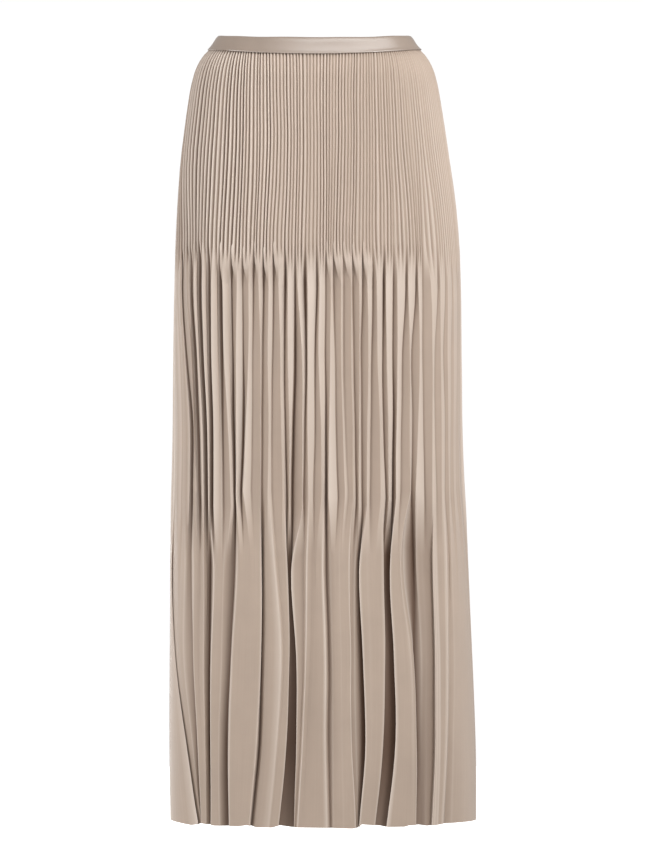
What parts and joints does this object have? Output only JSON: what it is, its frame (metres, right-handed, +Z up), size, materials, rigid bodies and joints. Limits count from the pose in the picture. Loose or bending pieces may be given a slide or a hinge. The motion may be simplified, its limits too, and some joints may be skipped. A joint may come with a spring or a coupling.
{
  "type": "pleated knit maxi skirt",
  "caption": "Long pull-on skirt of pleated jersey on a narrow satin waistband, with fine pleats over the hips that open in stages into wide folds at the hem.",
  "frame": {"origin": "middle of the waist, level with the waistband's top edge at the side seams", "axes": "+Z up along the wearer, the skirt hangs down -Z, -Y is the front, +X is the wearer's left"},
  "size_m": [0.3708, 0.226, 0.945],
  "materials": {
    "satin": "smooth satin with a soft sheen",
    "jersey": "fine pleated jersey with a slight silky sheen"
  },
  "bodies": {
    "root": {"waistband": "satin", "front_panel": "jersey", "back_panel": "jersey"}
  },
  "joints": []
}
